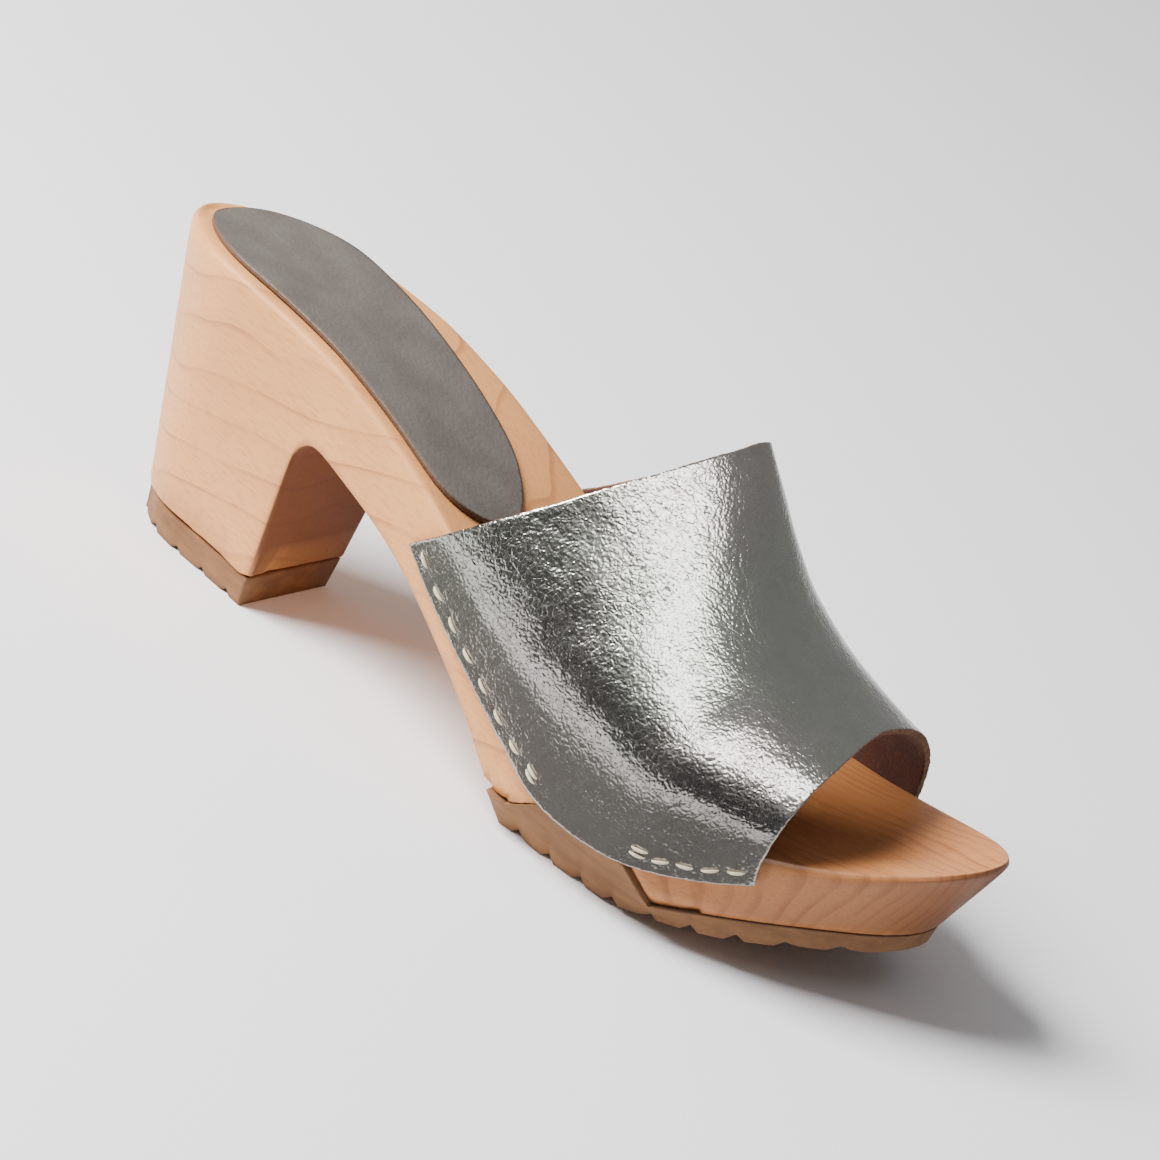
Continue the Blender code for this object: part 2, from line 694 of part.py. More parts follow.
def build_sock(collection):
    """Thin leather sock on the heel seat and waist."""
    back = SOCK_BACK_AT
    heel = [back + HEEL_ROUND_LENGTH * (1 - math.cos(math.radians(a))) for a in (0, 16, 32, 48, 64, 78)]
    front = SOCK_LENGTH - SOCK_TIP_ROUND
    middle = rows_between([back + HEEL_ROUND_LENGTH, front], ROW_STEP)
    tip = [front + SOCK_TIP_ROUND * math.sin(math.radians(a)) for a in (15, 30, 45, 60, 72, 82, 90)]
    xs = heel + middle + tip
    near, far = [], []
    for x in xs:
        share = math.sqrt(max(0.0, 1 - between(front, SOCK_LENGTH, x) ** 2))
        rear = rounded(1 - between(back, back + HEEL_ROUND_LENGTH, x))
        for side, edges in ((-1, near), (1, far)):
            wide = sock_edge(x, side)
            if x < back + HEEL_ROUND_LENGTH:
                full = sock_edge(back + HEEL_ROUND_LENGTH, side)
                wide = HEEL_BACK_SIDE + (full - HEEL_BACK_SIDE) * rear
            edges.append(Vector((x, SOCK_TIP_SIDE + (wide - SOCK_TIP_SIDE) * share)))

    def bottom(x, y):
        return footbed_at(x, y) + GAP

    def top(x, y):
        return bottom(x, y) + SOCK_THICKNESS

    def inset(x):
        return 0.0

    mesh = slab(near, far, top, bottom, inset, (0.0, 1.0))
    return finish("insole", mesh, finish_of("sock_leather", (0.30, 0.31, 0.30), 0.4, 0.6), collection)


def hem_height(along):
    """Height of the band's lower edge at a share of its length."""
    rear = (BAND_REAR_HEIGHT - BAND_LOW_HEIGHT) * read(HEM, "rear", along)
    front = (BAND_FRONT_HEIGHT - BAND_LOW_HEIGHT) * read(HEM, "front", along)
    return BAND_LOW_HEIGHT + rear + front


def band_shift(along, side, place):
    """How far a point of the band moves along the shoe, so that its front and rear edges are curved."""
    rise = place / (BAND_WALL_STEPS + BAND_ARCH_STEPS)
    bow = BAND_FRONT_BOW * math.sin(math.pi * rise ** BAND_BOW_PEAK)
    flare = BAND_FRONT_FLARE * max(0.0, 1 - place / BAND_WALL_STEPS) ** 2
    rear = BAND_INNER_REAR_BOW * math.sin(math.pi * rise) if side > 0 else 0.0
    return (bow + flare) * along ** BAND_FRONT_FADE + rear * (1 - along) ** BAND_REAR_FADE


def band_side(along, side):
    """Inner face of the band on one side, from its lower edge up to the ridge."""
    lead = BAND_INNER_LEAD * along if side > 0 else 0.0
    base_x = BAND_REAR_AT + (BAND_FRONT_AT - BAND_REAR_AT) * along + lead
    base_z = hem_height(along)
    ridge_x = RIDGE_REAR_AT + (RIDGE_FRONT_AT - RIDGE_REAR_AT) * along
    fall = (RIDGE_REAR_HEIGHT - RIDGE_FRONT_HEIGHT) * read(ARCHES, "fall", along)
    ridge_z = RIDGE_REAR_HEIGHT - fall
    ridge_y = RIDGE_REAR_SIDE + (RIDGE_FRONT_SIDE - RIDGE_REAR_SIDE) * along
    lean = (ridge_x - base_x) / (ridge_z - base_z)
    cross_z = base_z
    for _ in range(60):
        cross_z += (footbed(base_x + lean * (cross_z - base_z)) - cross_z) * 0.5
    points = []
    for k in range(BAND_WALL_STEPS):
        z = base_z + (cross_z - base_z) * k / BAND_WALL_STEPS
        x = base_x + lean * (z - base_z) + band_shift(along, side, k)
        points.append(Vector((x, wall(x, z, side) + side * BAND_GAP, z)))
    cross_x = base_x + lean * (cross_z - base_z)
    edge_x = cross_x + band_shift(along, side, BAND_WALL_STEPS)
    cross_y = outline(edge_x, side) + side * BAND_GAP
    full = read(ARCHES, "outer" if side < 0 else "inner", along)
    for k in range(BAND_ARCH_STEPS + 1):
        turn = math.pi / 2 * k / BAND_ARCH_STEPS
        out = math.cos(turn) ** (2 / full)
        up = math.sin(turn) ** (2 / full)
        swell = BAND_BULGE * math.sin(math.pi * up) * (1 - up)
        x = cross_x + (ridge_x - cross_x) * up + band_shift(along, side, BAND_WALL_STEPS + k)
        y = ridge_y + (cross_y - ridge_y) * out + side * swell
        points.append(Vector((x, y, cross_z + (ridge_z - cross_z) * up)))
    return points


def build_band(collection):
    """One band of leather, open at toe, throat and underneath, its wall turned outwards."""
    mesh = bmesh.new()
    grid = []
    for row in range(BAND_SECTIONS + 1):
        along = row / BAND_SECTIONS
        outer, inner = band_side(along, -1), band_side(along, 1)
        grid.append([mesh.verts.new(point) for point in outer + inner[-2::-1]])
    for here, there in zip(grid, grid[1:]):
        for k in range(len(here) - 1):
            mesh.faces.new((here[k], there[k], there[k + 1], here[k + 1]))
    data = bpy.data.meshes.new("upper")
    mesh.to_mesh(data)
    mesh.free()
    data.shade_smooth()
    data.materials.append(finish_of("band_leather", (0.36, 0.37, 0.35), 0.3, 0.85))
    body = bpy.data.objects.new("upper", data)
    collection.objects.link(body)
    wall_of = body.modifiers.new("thickness", "SOLIDIFY")
    wall_of.thickness = BAND_THICKNESS
    wall_of.offset = 1.0
    wall_of.use_even_offset = True
    return body


def centre(pieces, collection):
    """Hangs the pieces on an empty that puts the middle of the shoe's box over the origin."""
    graph = bpy.context.evaluated_depsgraph_get()
    corners = [Vector(corner) for piece in pieces for corner in piece.evaluated_get(graph).bound_box]
    low = [min(corner[axis] for corner in corners) for axis in range(3)]
    high = [max(corner[axis] for corner in corners) for axis in range(3)]
    shoe = bpy.data.objects.new("shoe", None)
    collection.objects.link(shoe)
    shoe.location = (-(low[0] + high[0]) / 2, -(low[1] + high[1]) / 2, -low[2])
    for piece in pieces:
        piece.parent = shoe
    return shoe


def main():
    """Clears the scene, builds the five pieces and centres the shoe."""
    for body in list(bpy.data.objects):
        bpy.data.objects.remove(body, do_unlink=True)
    collection = bpy.context.scene.collection
    pieces = [
        build_wooden_sole(collection),
        build_outsole(collection),
        build_top_piece(collection),
        build_sock(collection),
        build_band(collection),
    ]
    bpy.context.view_layer.update()
    centre(pieces, collection)
    bpy.context.view_layer.update()


main()
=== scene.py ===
"""Looks of a heeled clog mule, the right shoe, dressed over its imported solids.

Metres. The toe points along +X, the outer side of the foot faces -Y, +Z is up and the floor is z = 0.
"""

from __future__ import annotations

import json
import logging
import math
from dataclasses import dataclass, field
from enum import Enum

import bmesh
import bpy
import numpy as np
from mathutils import Matrix, Vector, noise
from mathutils.bvhtree import BVHTree

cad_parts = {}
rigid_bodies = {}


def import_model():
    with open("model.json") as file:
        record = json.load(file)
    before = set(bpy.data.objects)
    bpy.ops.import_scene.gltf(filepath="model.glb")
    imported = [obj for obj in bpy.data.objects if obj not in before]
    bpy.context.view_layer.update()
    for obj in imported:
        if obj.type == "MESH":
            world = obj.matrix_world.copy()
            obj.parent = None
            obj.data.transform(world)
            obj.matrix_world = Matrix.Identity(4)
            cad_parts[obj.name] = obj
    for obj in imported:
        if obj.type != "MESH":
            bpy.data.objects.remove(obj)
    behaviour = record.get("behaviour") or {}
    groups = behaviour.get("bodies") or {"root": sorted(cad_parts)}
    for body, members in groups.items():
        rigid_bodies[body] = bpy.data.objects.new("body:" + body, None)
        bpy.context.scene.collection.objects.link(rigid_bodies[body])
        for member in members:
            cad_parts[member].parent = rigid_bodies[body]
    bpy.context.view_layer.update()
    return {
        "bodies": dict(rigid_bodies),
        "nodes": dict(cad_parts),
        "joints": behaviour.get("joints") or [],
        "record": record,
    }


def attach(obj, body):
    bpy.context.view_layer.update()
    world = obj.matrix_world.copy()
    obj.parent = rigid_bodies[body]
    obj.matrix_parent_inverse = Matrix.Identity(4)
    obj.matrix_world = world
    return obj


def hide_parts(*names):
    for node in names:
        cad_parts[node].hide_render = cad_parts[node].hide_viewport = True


LOG = logging.getLogger("clog_mule")
Colour = tuple[float, float, float]
Place = tuple[float, float, float]


class Side(Enum):
    """The two sides of the foot, as the sign of Y."""

    OUTER = -1
    INNER = 1


class BandFace(Enum):
    """Material slots of the leather band."""

    FOIL = 0
    FLESH = 1
    CUT = 2


class NodeSheet:
    """Small helper that lays out the nodes of one material."""

    def __init__(self, name: str) -> None:
        """Makes an empty material with a Principled shader.

        Args:
            name: Name of the material.
        """
        self.material = bpy.data.materials.new(name)
        self.material.use_nodes = True
        self.tree = self.material.node_tree
        self.shader = self.tree.nodes["Principled BSDF"]
        self.place = self.tree.nodes.new("ShaderNodeTexCoord").outputs["Object"]

    def link(self, source: bpy.types.NodeSocket, target: bpy.types.NodeSocket) -> None:
        """Joins two sockets.

        Args:
            source: The output.
            target: The input.
        """
        self.tree.links.new(source, target)

    def feed(self, socket: bpy.types.NodeSocket, value: object) -> None:
        """Gives a socket a number, a colour or another socket.

        Args:
            socket: The input to fill.
            value: A socket, a number, or three numbers.
        """
        if isinstance(value, bpy.types.NodeSocket):
            self.link(value, socket)
        elif isinstance(value, (tuple, list)) and len(socket.default_value) == 4:
            socket.default_value = (*value, 1.0)
        else:
            socket.default_value = value

    def maths(self, kind: str, first: object, second: object = 0.0) -> bpy.types.NodeSocket:
        """Adds one Math node.

        Args:
            kind: Its operation.
            first: First value or socket.
            second: Second value or socket.

        Returns:
            Its output.
        """
        node = self.tree.nodes.new("ShaderNodeMath")
        node.operation = kind
        self.feed(node.inputs[0], first)
        self.feed(node.inputs[1], second)
        return node.outputs[0]

    def step(self, value: bpy.types.NodeSocket, low: float, high: float) -> bpy.types.NodeSocket:
        """Smooth step from 0 at low to 1 at high.

        Args:
            value: The socket to read.
            low: Where the step starts.
            high: Where it ends.

        Returns:
            The stepped output.
        """
        node = self.tree.nodes.new("ShaderNodeMapRange")
        node.interpolation_type = "SMOOTHSTEP"
        self.feed(node.inputs["Value"], value)
        node.inputs["From Min"].default_value = low
        node.inputs["From Max"].default_value = high
        return node.outputs["Result"]

    def stretched(self, stretch: Colour) -> bpy.types.NodeSocket:
        """Object place with each axis multiplied.

        Args:
            stretch: Factors along X, Y and Z.

        Returns:
            The stretched place.
        """
        node = self.tree.nodes.new("ShaderNodeMapping")
        node.inputs["Scale"].default_value = stretch
        self.link(self.place, node.inputs["Vector"])
        return node.outputs[0]

    def clouds(self, scale: float, detail: float = 2.0, rough: float = 0.5,
               place: bpy.types.NodeSocket | None = None) -> bpy.types.NodeSocket:
        """Noise between 0 and 1.

        Args:
            scale: Cycles per metre, or per unit of the place that is given.
            detail: Octaves.
            rough: Weight of the finer octaves.
            place: Where it is read, or None for the Object place.

        Returns:
            The noise value.
        """
        node = self.tree.nodes.new("ShaderNodeTexNoise")
        self.link(place or self.place, node.inputs["Vector"])
        node.inputs["Scale"].default_value = scale
        node.inputs["Detail"].default_value = detail
        node.inputs["Roughness"].default_value = rough
        return node.outputs["Fac"]

    def cells(self, scale: float, feature: str = "SMOOTH_F1",
              place: bpy.types.NodeSocket | None = None) -> bpy.types.NodeSocket:
        """Distance field of a cell pattern.

        Args:
            scale: Cells per metre.
            feature: Kind of distance.
            place: Where it is read, or None for the Object place.

        Returns:
            The distance.
        """
        node = self.tree.nodes.new("ShaderNodeTexVoronoi")
        node.feature = feature
        self.link(place or self.place, node.inputs["Vector"])
        node.inputs["Scale"].default_value = scale
        return node.outputs["Distance"]

    def mixed(self, share: object, first: object, second: object, way: str = "MIX") -> bpy.types.NodeSocket:
        """Mix of two colours.

        Args:
            share: Share of the second.
            first: First colour or socket.
            second: Second colour or socket.
            way: Blend type.

        Returns:
            The mixed colour.
        """
        node = self.tree.nodes.new("ShaderNodeMix")
        node.data_type = "RGBA"
        node.blend_type = way
        self.feed(node.inputs[0], share)
        self.feed(node.inputs[6], first)
        self.feed(node.inputs[7], second)
        return node.outputs[2]

    def axis(self, name: str) -> bpy.types.NodeSocket:
        """One of the three numbers of the Object place.

        Args:
            name: X, Y or Z.

        Returns:
            That number.
        """
        node = self.tree.nodes.new("ShaderNodeSeparateXYZ")
        self.link(self.place, node.inputs[0])
        return node.outputs[name]

    def spread(self, value: bpy.types.NodeSocket, low: float, high: float) -> bpy.types.NodeSocket:
        """A 0 to 1 value spread over a range.

        Args:
            value: The value.
            low: What 0 becomes.
            high: What 1 becomes.

        Returns:
            The spread value.
        """
        return self.maths("ADD", self.maths("MULTIPLY", value, high - low), low)

    def bump(self, height: bpy.types.NodeSocket, strength: float, depth: float,
             under: bpy.types.NodeSocket | None = None) -> bpy.types.NodeSocket:
        """Adds a Bump node.

        Args:
            height: Height field.
            strength: Strength of the effect.
            depth: Depth in metres of a full step.
            under: Normal of a bump beneath it.

        Returns:
            The bumped normal.
        """
        node = self.tree.nodes.new("ShaderNodeBump")
        node.inputs["Strength"].default_value = strength
        node.inputs["Distance"].default_value = depth
        self.link(height, node.inputs["Height"])
        if under is not None:
            self.link(under, node.inputs["Normal"])
        return node.outputs[0]

    def done(self, **values: object) -> bpy.types.Material:
        """Feeds the shader's sockets and returns the material.

        Args:
            **values: Socket names with underscores for spaces.

        Returns:
            The finished material.
        """
        for name, value in values.items():
            self.feed(self.shader.inputs[name.replace("_", " ")], value)
        return self.material


@dataclass(frozen=True)
class WoodFinish:
    """Pale sealed wood: arching rings on heel and waist, straight grain at the toe."""

    pale: Colour = (0.71, 0.318, 0.108)
    warm: Colour = (0.47, 0.185, 0.066)
    ring: Colour = (0.25, 0.085, 0.028)
    # Dark brown of the faces that point forward: partly end grain, mostly painted shade on the heel breast
    # and toe front.
    end_grain_and_painted_shade: Colour = (0.11, 0.035, 0.013)
    heel_pitch: float = 0.0112
    toe_pitch: float = 0.0036
    rise: float = 0.21
    cup: float = 4.5
    slow_drift: float = 0.028
    fine_drift: float = 0.0011
    heel_line: float = 0.055
    toe_line: float = 0.2
    toe_from: float = 0.01
    toe_full: float = 0.05
    # How far forward faces go towards that dark brown: painted shade, partly end grain.
    cut_share: float = 0.9

    def lines(self, sheet: NodeSheet, along: bpy.types.NodeSocket, sharp: float) -> bpy.types.NodeSocket:
        """Thin dark growth lines of a field that counts rings.

        Args:
            sheet: The material's sheet.
            along: Ring count, its whole numbers being the lines.
            sharp: Share of a ring that the dark line takes.

        Returns:
            Strength of the lines, 0 to 1.
        """
        part = sheet.maths("FRACT", along)
        rise = sheet.step(part, 1 - sharp * 2.6, 1 - sharp * 0.7)
        fall = sheet.step(part, 1.0, 1 - sharp * 0.35)
        return sheet.maths("MULTIPLY", rise, fall)

    def make(self) -> bpy.types.Material:
        """Builds the material.

        Returns:
            The wood material.
        """
        sheet = NodeSheet("pale_wood")
        x, y, z = sheet.axis("X"), sheet.axis("Y"), sheet.axis("Z")
        slow = sheet.maths("SUBTRACT", sheet.clouds(1.0, 2.0, 0.5, sheet.stretched((14, 22, 22))), 0.5)
        fine = sheet.maths("SUBTRACT", sheet.clouds(1.0, 2.0, 0.5, sheet.stretched((50, 160, 160))), 0.5)
        drift = sheet.maths("ADD", sheet.maths("MULTIPLY", slow, self.slow_drift),
                            sheet.maths("MULTIPLY", fine, self.fine_drift))
        bowl = sheet.maths("MULTIPLY", sheet.maths("MULTIPLY", y, y), self.cup)
        slope = sheet.maths("SUBTRACT", z, sheet.maths("MULTIPLY", x, self.rise))
        heel = sheet.maths("SUBTRACT", slope, bowl)
        heel_rings = sheet.maths("DIVIDE", sheet.maths("ADD", heel, drift), self.heel_pitch)
        toe = sheet.maths("ADD", sheet.maths("ADD", y, sheet.maths("MULTIPLY", z, 0.25)), drift)
        toe_rings = sheet.maths("ADD", sheet.maths("DIVIDE", toe, self.toe_pitch), 40)
        patchy = sheet.step(sheet.clouds(1.0, 2.0, 0.5, sheet.stretched((30, 70, 70))), 0.3, 0.66)
        heel_lines = sheet.maths("MULTIPLY", self.lines(sheet, heel_rings, self.heel_line),
                                 sheet.spread(patchy, 0.05, 0.42))
        toe_lines = sheet.maths("MULTIPLY", self.lines(sheet, toe_rings, self.toe_line),
                                sheet.spread(patchy, 0.05, 0.55))
        front = sheet.step(x, self.toe_from, self.toe_full)
        lines = sheet.maths("ADD", sheet.maths("MULTIPLY", heel_lines, sheet.maths("SUBTRACT", 1.0, front)),
                            sheet.maths("MULTIPLY", toe_lines, front))
        band = sheet.step(sheet.maths("FRACT", heel_rings), 0.25, 1.0)
        fibre = sheet.clouds(1.0, 4.0, 0.62, sheet.stretched((70, 1500, 1500)))
        blotch = sheet.clouds(38, 3.0, 0.55)
        warmth = sheet.maths("ADD", sheet.maths("MULTIPLY", band, 0.16), sheet.spread(blotch, -0.2, 0.42))
        warmth = sheet.maths("ADD", warmth, sheet.maths("MULTIPLY", front, 0.62))
        body = sheet.mixed(sheet.step(warmth, 0.0, 1.0), self.pale, self.warm)
        streaks = sheet.mixed(sheet.step(fibre, 0.46, 0.72), (1.0, 1.0, 1.0), (0.88, 0.80, 0.74))
        body = sheet.mixed(1.0, body, streaks, "MULTIPLY")
        body = sheet.mixed(lines, body, self.ring)
        pores = sheet.step(sheet.clouds(1.0, 1.0, 0.4, sheet.stretched((260, 2600, 2600))), 0.66, 0.76)
        body = sheet.mixed(sheet.maths("MULTIPLY", pores, 0.22), body, self.ring)
        # Painted shade: faces that point forward (heel breast, toe front) are mixed towards the dark brown.
        # This is partly the darker end grain and mostly shade painted into the colour.
        cross = sheet.tree.nodes.new("ShaderNodeAttribute")
        cross.attribute_name = "forward_painted_shade"
        body = sheet.mixed(sheet.maths("MULTIPLY", cross.outputs["Fac"], self.cut_share), body,
                           self.end_grain_and_painted_shade)
        relief = sheet.maths("ADD", sheet.maths("MULTIPLY", fibre, 0.6), sheet.maths("MULTIPLY", lines, -0.5))
        rough = sheet.spread(fibre, 0.36, 0.54)
        return sheet.done(Base_Color=body, Roughness=rough, Normal=sheet.bump(relief, 0.18, 0.0003),
                          Coat_Weight=0.05, Coat_Roughness=0.35, Specular_IOR_Level=0.3)


@dataclass(frozen=True)
class FoilFinish:
    """Pewter foil on leather, crackled into small pebbles with broken gloss."""

    name: str = "pewter_foil"
    silver: Colour = (0.37, 0.365, 0.335)
    green: Colour = (0.255, 0.27, 0.225)
    mauve: Colour = (0.31, 0.268, 0.25)
    worn: Colour = (0.16, 0.12, 0.09)
    pebble: float = 1350.0
    net: float = 520.0
    gloss: float = 0.17
    relief: float = 0.00015

    def make(self) -> bpy.types.Material:
        """Builds the material.

        Returns:
            The foil leather.
        """
        sheet = NodeSheet(self.name)
        bend = sheet.tree.nodes.new("ShaderNodeTexNoise")
        sheet.link(sheet.place, bend.inputs["Vector"])
        bend.inputs["Scale"].default_value = 300
        shift = sheet.tree.nodes.new("ShaderNodeVectorMath")
        shift.operation = "MULTIPLY_ADD"
        sheet.link(bend.outputs["Color"], shift.inputs[0])
        shift.inputs[1].default_value = (0.0016, 0.0016, 0.0016)
        sheet.link(sheet.place, shift.inputs[2])
        place = shift.outputs[0]
        pebbles = sheet.cells(self.pebble, "SMOOTH_F1", place)
        net = sheet.step(sheet.cells(self.net, "DISTANCE_TO_EDGE", place), 0.0, 0.16)
        where = sheet.step(sheet.clouds(70, 2.0), 0.36, 0.62)
        crumple = sheet.clouds(620, 3.0, 0.6, place)
        height = sheet.maths("ADD", sheet.maths("MULTIPLY", pebbles, -0.75),
                             sheet.maths("MULTIPLY", crumple, 0.6))
        height = sheet.maths("ADD", height, sheet.maths("MULTIPLY", net, sheet.spread(where, 0.02, 0.22)))
        wide = sheet.clouds(150, 3.0, 0.55)
        tone = sheet.mixed(sheet.step(sheet.clouds(24, 2.0), 0.38, 0.62), self.green, self.mauve)
        tone = sheet.mixed(sheet.spread(wide, 0.2, 0.9), tone, self.silver)
        seam = sheet.step(sheet.cells(self.net, "DISTANCE_TO_EDGE", place), 0.0, 0.05)
        cracks = sheet.maths("SUBTRACT", 1.0, seam)
        cracks = sheet.maths("MULTIPLY", cracks, sheet.spread(where, 0.04, 0.3))
        tone = sheet.mixed(cracks, tone, self.worn)
        rough = sheet.maths("ADD", sheet.spread(crumple, self.gloss - 0.08, self.gloss + 0.14),
                            sheet.maths("MULTIPLY", cracks, 0.3))
        under = sheet.bump(wide, 0.4, 0.0008)
        return sheet.done(Base_Color=tone, Metallic=0.96, Roughness=rough,
                          Normal=sheet.bump(height, 0.85, self.relief, under))


@dataclass(frozen=True)
class FleshFinish:
    """Brown flesh side of the leather, seen inside the band and raw at its cut edges."""

    name: str
    light: Colour
    dark: Colour
    fibre: float = 1400.0
    sheen: float = 0.25

    def make(self) -> bpy.types.Material:
        """Builds the material.

        Returns:
            The suede-like leather.
        """
        sheet = NodeSheet(self.name)
        fibres = sheet.clouds(self.fibre, 4.0, 0.65)
        blotch = sheet.clouds(180, 3.0)
        share = sheet.maths("ADD", sheet.maths("MULTIPLY", fibres, 0.6), sheet.maths("MULTIPLY", blotch, 0.4))
        tone = sheet.mixed(sheet.step(share, 0.3, 0.7), self.dark, self.light)
        return sheet.done(Base_Color=tone, Roughness=sheet.spread(fibres, 0.78, 0.96),
                          Sheen_Weight=self.sheen, Specular_IOR_Level=0.3,
                          Normal=sheet.bump(fibres, 0.6, 0.0004))


@dataclass(frozen=True)
class SockFinish:
    """Satin pewter leather of the heel sock, brown where its edge was cut."""

    grey: Colour = (0.145, 0.124, 0.110)
    light: Colour = (0.180, 0.156, 0.138)
    brown: Colour = (0.10, 0.055, 0.035)

    def make(self) -> bpy.types.Material:
        """Builds the material.

        Returns:
            The sock leather.
        """
        sheet = NodeSheet("sock_foil")
        grain = sheet.cells(900, "SMOOTH_F1")
        fine = sheet.clouds(1700, 3.0, 0.6)
        lines = sheet.clouds(1.0, 3.0, 0.6, sheet.stretched((420, 1300, 1300)))
        blotch = sheet.clouds(90, 3.0)
        tone = sheet.mixed(sheet.step(blotch, 0.3, 0.7), self.grey, self.light)
        edge = sheet.tree.nodes.new("ShaderNodeAttribute")
        edge.attribute_name = "edge_wear"
        ragged = sheet.maths("ADD", edge.outputs["Fac"], sheet.spread(fine, -0.22, 0.22))
        rim = sheet.step(ragged, 0.45, 0.75)
        tone = sheet.mixed(rim, tone, self.brown)
        height = sheet.maths("ADD", sheet.maths("MULTIPLY", grain, -0.5), sheet.maths("MULTIPLY", lines, 0.6))
        metal = sheet.maths("MULTIPLY", sheet.maths("SUBTRACT", 1.0, rim), 0.45)
        return sheet.done(Base_Color=tone, Metallic=metal, Roughness=sheet.spread(fine, 0.36, 0.56),
                          Normal=sheet.bump(height, 0.7, 0.0003))


@dataclass(frozen=True)
class RubberFinish:
    """Tan brown rubber, matte and a little dusty."""

    name: str = "tan_rubber"
    tan: Colour = (0.235, 0.11, 0.043)
    deep: Colour = (0.16, 0.072, 0.028)
    dust: Colour = (0.34, 0.20, 0.105)

    def make(self) -> bpy.types.Material:
        """Builds the material.

        Returns:
            The rubber.
        """
        sheet = NodeSheet(self.name)
        grit = sheet.clouds(2600, 3.0, 0.7)
        smear = sheet.clouds(1.0, 3.0, 0.6, sheet.stretched((60, 160, 260)))
        tone = sheet.mixed(sheet.step(smear, 0.3, 0.7), self.deep, self.tan)
        tone = sheet.mixed(sheet.maths("MULTIPLY", sheet.step(grit, 0.55, 0.75), 0.35), tone, self.dust)
        return sheet.done(Base_Color=tone, Roughness=sheet.spread(grit, 0.66, 0.86),
                          Specular_IOR_Level=0.35, Normal=sheet.bump(grit, 0.35, 0.00025))


@dataclass(frozen=True)
class ThreadFinish:
    """Pale metallic thread of the stitches."""

    pale: Colour = (0.78, 0.70, 0.52)

    def make(self) -> bpy.types.Material:
        """Builds the material.

        Returns:
            The thread.
        """
        sheet = NodeSheet("pale_thread")
        twist = sheet.clouds(5200, 2.0)
        tone = sheet.mixed(sheet.step(twist, 0.3, 0.6), (0.50, 0.42, 0.28), self.pale)
        return sheet.done(Base_Color=tone, Metallic=0.15, Roughness=sheet.spread(twist, 0.3, 0.5),
                          Normal=sheet.bump(twist, 0.5, 0.0002))


@dataclass(frozen=True)
class FloorFinish:
    """Plain pale studio floor."""

    pale: Colour = (0.90, 0.895, 0.91)

    def make(self) -> bpy.types.Material:
        """Builds the material.

        Returns:
            The floor.
        """
        sheet = NodeSheet("studio_floor")
        cloud = sheet.clouds(6, 2.0)
        tone = sheet.mixed(cloud, self.pale, tuple(c * 1.03 for c in self.pale))
        return sheet.done(Base_Color=tone, Roughness=0.8)


def edit_all(body: bpy.types.Object) -> None:
    """Makes one object the only selected one and opens it in edit mode with all of it selected.

    Args:
        body: The object.
    """
    bpy.ops.object.select_all(action="DESELECT")
    body.select_set(True)
    bpy.context.view_layer.objects.active = body
    bpy.ops.object.mode_set(mode="EDIT")
    bpy.ops.mesh.select_all(action="SELECT")


def close_edit() -> None:
    """Goes back to object mode."""
    bpy.ops.object.mode_set(mode="OBJECT")


def worked_copy(node: bpy.types.Object, name: str) -> bpy.types.Object:
    """Copies a CAD node's mesh, merges its loose triangles and turns them back into quads.

    Args:
        node: The CAD node.
        name: Name of the new piece.

    Returns:
        The new piece, riding on nothing yet.
    """
    data = node.data.copy()
    data.name = name
    data.materials.clear()
    body = bpy.data.objects.new(name, data)
    bpy.context.scene.collection.objects.link(body)
    body.matrix_world = node.matrix_world.copy()
    edit_all(body)
    bpy.ops.mesh.customdata_custom_splitnormals_clear()
    bpy.ops.mesh.remove_doubles(threshold=0.00001)
    bpy.ops.mesh.tris_convert_to_quads(face_threshold=math.radians(50), shape_threshold=math.radians(70))
    bpy.ops.mesh.faces_shade_smooth()
    close_edit()
    for layer in list(data.uv_layers):
        data.uv_layers.remove(layer)
    return body


def crease(body: bpy.types.Object, angle: float, weight: float) -> None:
    """Keeps the sharp edges of a piece firm when it is subdivided.

    Args:
        body: The piece.
        angle: Edges that turn by more than this stay firm.
        weight: How firm.
    """
    mesh = bmesh.new()
    mesh.from_mesh(body.data)
    layer = mesh.edges.layers.float.get("crease_edge") or mesh.edges.layers.float.new("crease_edge")
    for edge in mesh.edges:
        if edge.is_manifold and edge.calc_face_angle(0.0) > angle:
            edge[layer] = weight
    mesh.to_mesh(body.data)
    mesh.free()


def subdivide(body: bpy.types.Object, levels: int) -> None:
    """Applies a subdivision surface.

    Args:
        body: The piece.
        levels: Number of steps.
    """
    bpy.ops.object.select_all(action="DESELECT")
    body.select_set(True)
    bpy.context.view_layer.objects.active = body
    surface = body.modifiers.new("fine", "SUBSURF")
    surface.levels = surface.render_levels = levels
    bpy.ops.object.modifier_apply(modifier=surface.name)


def ridden(body: bpy.types.Object, slot: str, *nodes: str) -> None:
    """Lets a piece stand for its CAD nodes: rides it on the root body and hides the nodes.

    Args:
        body: The piece.
        slot: The record's material slot; not used.
        *nodes: CAD nodes that it stands for.
    """
    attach(body, "root")
    if nodes:
        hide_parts(*nodes)


